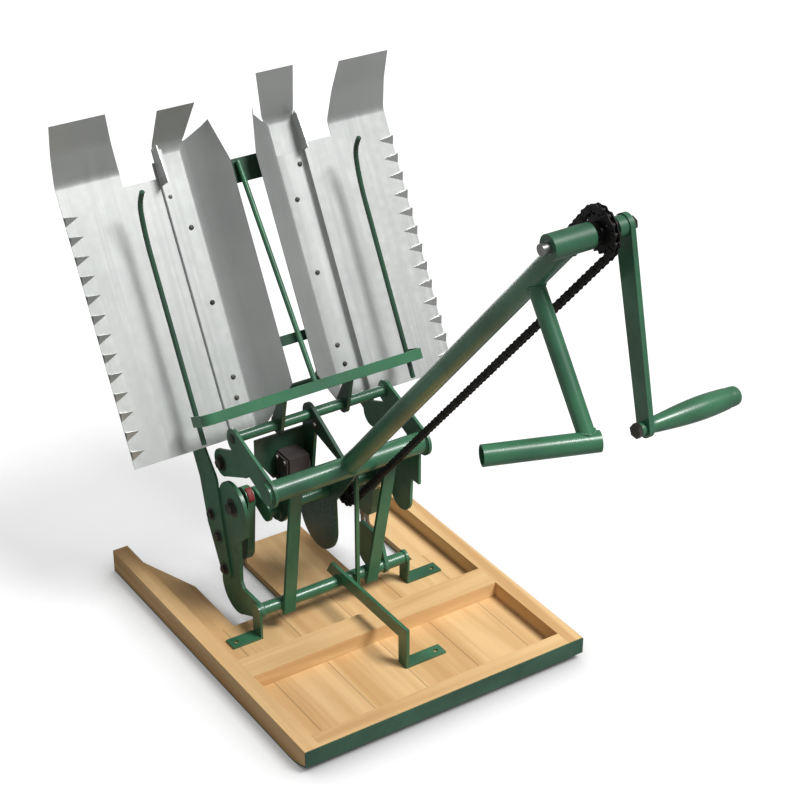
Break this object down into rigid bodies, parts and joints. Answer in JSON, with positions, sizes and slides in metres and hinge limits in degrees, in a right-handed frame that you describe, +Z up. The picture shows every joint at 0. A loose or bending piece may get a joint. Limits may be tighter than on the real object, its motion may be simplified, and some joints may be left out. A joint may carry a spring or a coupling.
{
  "type": "hand-cranked rice transplanter",
  "caption": "Two-row hand-cranked rice transplanter: a wooden sled with a sloping handle, a chain drive, planting arms and sliding seedling trays.",
  "frame": {"origin": "on the ground under the middle of the sled, at the underside of its sole", "axes": "+X to the operator's right (the crank side), +Y away from the operator towards the trays, +Z up"},
  "size_m": [0.621, 1.0089, 0.9655],
  "materials": {
    "wood": "matte",
    "green_paint": "gloss",
    "dark_green_paint": "gloss",
    "zinc_sheet": "satin",
    "black_steel": "satin",
    "bare_steel": "satin"
  },
  "bodies": {
    "sled_frame": {"sole_plate": "green_paint", "side_rails": "wood", "front_batten": "wood", "cross_batten": "wood", "front_floor": "wood", "middle_tongue": "wood", "side_tongues": "wood", "bottom_tube": "green_paint", "end_feet": "green_paint", "front_leg": "green_paint", "left_leg": "green_paint", "middle_leg": "green_paint", "right_leg": "green_paint", "main_tube": "green_paint", "side_bars": "dark_green_paint", "side_struts": "dark_green_paint", "rear_rail": "green_paint", "front_rail": "green_paint", "rail_brackets": "dark_green_paint", "centre_plate": "dark_green_paint", "back_panel": "dark_green_paint", "feed_box": "black_steel", "shaft_hangers": "dark_green_paint", "handle_tube": "green_paint", "bearing_sleeve": "green_paint", "grip_post": "green_paint", "hand_grip": "green_paint", "drive_chain": "black_steel"},
    "crank": {"crank_shaft": "bare_steel", "upper_wheel": "black_steel", "crank_arm": "green_paint"},
    "crank_handle": {"crank_grip": "green_paint"},
    "drive": {"drive_shaft": "green_paint", "lower_wheel": "black_steel"},
    "left_planter": {"left_arm": "dark_green_paint", "left_fork": "bare_steel"},
    "right_planter": {"right_arm": "dark_green_paint", "right_fork": "bare_steel"},
    "tray_carriage": {"left_tray": "zinc_sheet", "right_tray": "zinc_sheet", "left_wall": "zinc_sheet", "right_wall": "zinc_sheet", "holder_bar": "green_paint", "retaining_rods": "green_paint", "spreader_bars": "dark_green_paint", "tray_strut": "green_paint", "rail_shoes": "dark_green_paint"}
  },
  "joints": [
    {"name": "crank_spin", "type": "hinge", "parent": "sled_frame", "child": "crank", "pos_m": [0, -0.578, 0.927], "axis": [1, 0, 0], "continuous": true},
    {"name": "grip_spin", "type": "hinge", "parent": "crank", "child": "crank_handle", "pos_m": [0.16, -0.64525, 0.65726], "axis": [1, 0, 0], "continuous": true},
    {"name": "drive_spin", "type": "hinge", "parent": "sled_frame", "child": "drive", "pos_m": [0, 0.053, 0.215], "axis": [1, 0, 0], "continuous": true},
    {"name": "left_arm_spin", "type": "hinge", "parent": "drive", "child": "left_planter", "pos_m": [-0.123, 0.09059, 0.22868], "axis": [1, 0, 0], "continuous": true},
    {"name": "right_arm_spin", "type": "hinge", "parent": "drive", "child": "right_planter", "pos_m": [0.123, 0.09059, 0.22868], "axis": [1, 0, 0], "continuous": true},
    {"name": "tray_slide", "type": "slide", "parent": "sled_frame", "child": "tray_carriage", "axis": [1, 0, 0], "range_m": [-0.045, 0.045]}
  ],
  "couplings": [
    {"joint": "drive_spin", "follows": "crank_spin", "ratio": 1},
    {"joint": "left_arm_spin", "follows": "crank_spin", "ratio": -1},
    {"joint": "right_arm_spin", "follows": "crank_spin", "ratio": -1}
  ]
}
